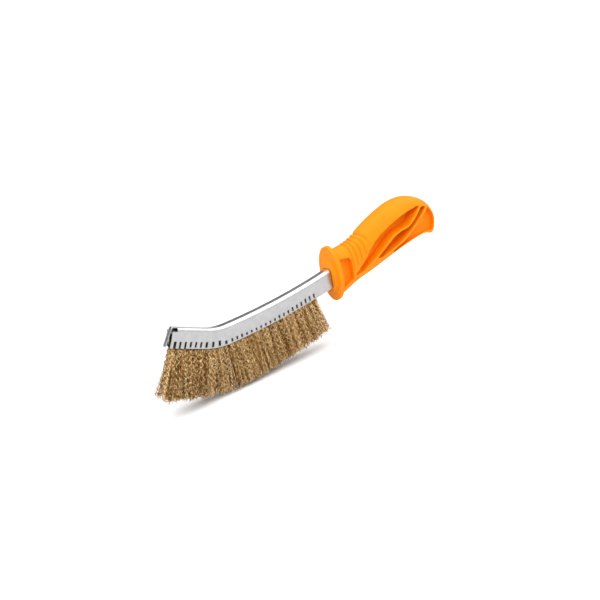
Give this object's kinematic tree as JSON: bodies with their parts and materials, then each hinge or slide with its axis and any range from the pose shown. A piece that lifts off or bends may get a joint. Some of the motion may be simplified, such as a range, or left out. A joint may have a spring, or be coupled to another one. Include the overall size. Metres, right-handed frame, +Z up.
{
  "type": "wire brush",
  "caption": "Hand wire brush with an orange moulded handle and oval guard, a bent plated steel channel and crimped brass-coated wire.",
  "frame": {"origin": "middle of the brush's length and width, at the level of its lowest wire tips", "axes": "+X along the brush from the wires to the tail of the handle, +Z up from the wire tips, Y across"},
  "size_m": [0.2864, 0.029, 0.0978],
  "materials": {
    "orange_plastic": "moulded, satin",
    "bright_plating": "bright zinc plating",
    "plain_steel": "drawn wire",
    "brass_wire": "brass-coated crimped wire"
  },
  "bodies": {
    "root": {"handle": "orange_plastic", "channel": "bright_plating", "core_wire": "plain_steel", "wire_bundle_01": "brass_wire", "wire_bundle_02": "brass_wire", "wire_bundle_03": "brass_wire", "wire_bundle_04": "brass_wire", "wire_bundle_05": "brass_wire", "wire_bundle_06": "brass_wire", "wire_bundle_07": "brass_wire", "wire_bundle_08": "brass_wire", "wire_bundle_09": "brass_wire", "wire_bundle_10": "brass_wire", "wire_bundle_11": "brass_wire", "wire_bundle_12": "brass_wire", "wire_bundle_13": "brass_wire", "wire_bundle_14": "brass_wire", "wire_bundle_15": "brass_wire", "wire_bundle_16": "brass_wire", "wire_bundle_17": "brass_wire", "wire_bundle_18": "brass_wire", "wire_bundle_19": "brass_wire", "wire_bundle_20": "brass_wire", "wire_bundle_21": "brass_wire", "wire_bundle_22": "brass_wire", "wire_bundle_23": "brass_wire", "wire_bundle_24": "brass_wire", "wire_bundle_25": "brass_wire", "wire_bundle_26": "brass_wire", "wire_bundle_27": "brass_wire", "wire_bundle_28": "brass_wire", "wire_bundle_29": "brass_wire"}
  },
  "joints": []
}
